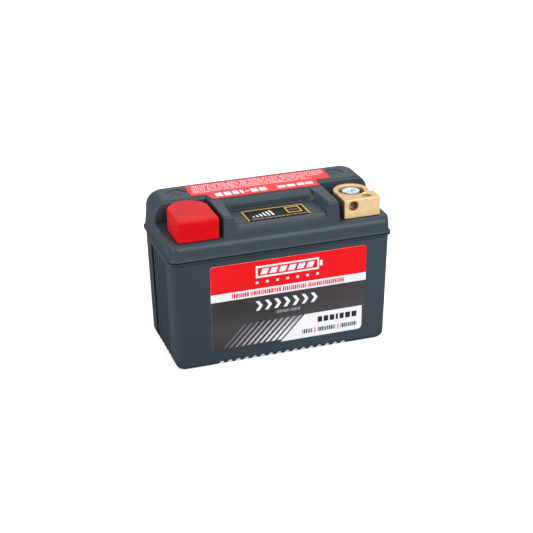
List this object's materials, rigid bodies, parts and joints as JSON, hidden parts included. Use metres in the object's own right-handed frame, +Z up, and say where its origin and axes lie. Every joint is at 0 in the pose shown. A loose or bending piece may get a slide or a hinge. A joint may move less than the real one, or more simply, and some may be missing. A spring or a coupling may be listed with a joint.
{
  "type": "motorcycle battery",
  "caption": "Small sealed lithium battery: tapered ribbed case, stepped lid, brass corner terminals, red terminal cap and a charge gauge with a test button.",
  "frame": {"origin": "centre of the base, on the surface the battery stands on", "axes": "+X along the length towards the negative terminal, the printed front faces -Y, +Z up"},
  "size_m": [0.134, 0.065, 0.092],
  "materials": {
    "case_plastic": "fine-grained dark blue-grey moulded ABS",
    "lid_plastic": "fine-grained dark blue-grey moulded ABS",
    "red_rubber": "soft satin red",
    "brass": "die-cast, satin, lightly machined",
    "zinc": "bright zinc plated",
    "red_print": "satin printed film",
    "black_print": "satin printed film",
    "cell_wrap": "shrink sleeve",
    "nickel": "plain nickel strip",
    "tinned_copper": "tinned",
    "board_green": "solder mask",
    "component_black": "moulded",
    "led_white": "clear lens",
    "red_wire": "insulated wire",
    "black_wire": "insulated wire",
    "foam": "closed-cell foam",
    "holder_plastic": "moulded"
  },
  "bodies": {
    "housing": {"case": "case_plastic", "lid": "lid_plastic", "front_label": "red_print", "top_label": "red_print", "indicator_label": "black_print", "lower_cell_holder": "holder_plastic", "upper_cell_holder": "holder_plastic", "foam_block_left": "foam", "foam_block_right": "foam", "balance_board": "board_green", "indicator_board": "board_green", "tact_switch": "component_black", "series_strap_bottom_left": "nickel", "series_strap_bottom_right": "nickel", "series_strap_top": "nickel", "positive_tab": "nickel", "negative_tab": "nickel", "positive_lead": "red_wire", "negative_lead": "black_wire", "indicator_cable": "black_wire", "sense_wire_1": "red_wire", "sense_wire_2": "black_wire", "sense_wire_3": "black_wire", "sense_wire_4": "black_wire", "sense_wire_5": "red_wire", "cell_1": "cell_wrap", "balance_resistor_1": "component_black", "cell_2": "cell_wrap", "balance_resistor_2": "component_black", "cell_3": "cell_wrap", "balance_resistor_3": "component_black", "cell_4": "cell_wrap", "balance_resistor_4": "component_black", "charge_led_1": "led_white", "charge_led_2": "led_white", "charge_led_3": "led_white", "charge_led_4": "led_white", "charge_led_5": "led_white", "charge_led_6": "led_white", "positive_terminal_block": "brass", "positive_terminal_post": "brass", "positive_lug_screw": "zinc", "positive_lug": "tinned_copper", "negative_terminal_block": "brass", "negative_terminal_post": "brass", "negative_lug_screw": "zinc", "negative_lug": "tinned_copper"},
    "cap": {"terminal_cap": "red_rubber"},
    "button": {"test_button": "black_print"},
    "positive_washer": {"positive_bolt_washer": "zinc"},
    "positive_bolt": {"positive_terminal_bolt": "zinc"},
    "negative_washer": {"negative_bolt_washer": "zinc"},
    "negative_bolt": {"negative_terminal_bolt": "zinc"}
  },
  "joints": [
    {"name": "cap_lift", "type": "slide", "parent": "housing", "child": "cap", "axis": [0, 0, 1], "range_m": [0, 0.025]},
    {"name": "button_press", "type": "slide", "parent": "housing", "child": "button", "axis": [0, 0, -1], "range_m": [0, 0.0005], "stiffness_N_per_m": 800},
    {"name": "positive_bolt_rise", "type": "slide", "parent": "housing", "child": "positive_washer", "axis": [0, 0, 1], "range_m": [0, 0.0005]},
    {"name": "positive_bolt_turn", "type": "hinge", "parent": "positive_washer", "child": "positive_bolt", "pos_m": [-0.048, -0.0105, 0.0863], "axis": [0, 0, 1], "range_deg": [0, 180]},
    {"name": "negative_bolt_rise", "type": "slide", "parent": "housing", "child": "negative_washer", "axis": [0, 0, 1], "range_m": [0, 0.007]},
    {"name": "negative_bolt_turn", "type": "hinge", "parent": "negative_washer", "child": "negative_bolt", "pos_m": [0.0493, -0.0105, 0.0863], "axis": [0, 0, 1], "range_deg": [0, 2520]}
  ],
  "couplings": [
    {"joint": "positive_bolt_turn", "follows": "positive_bolt_rise", "rad_per_m": 6283.2},
    {"joint": "negative_bolt_turn", "follows": "negative_bolt_rise", "rad_per_m": 6283.2}
  ]
}
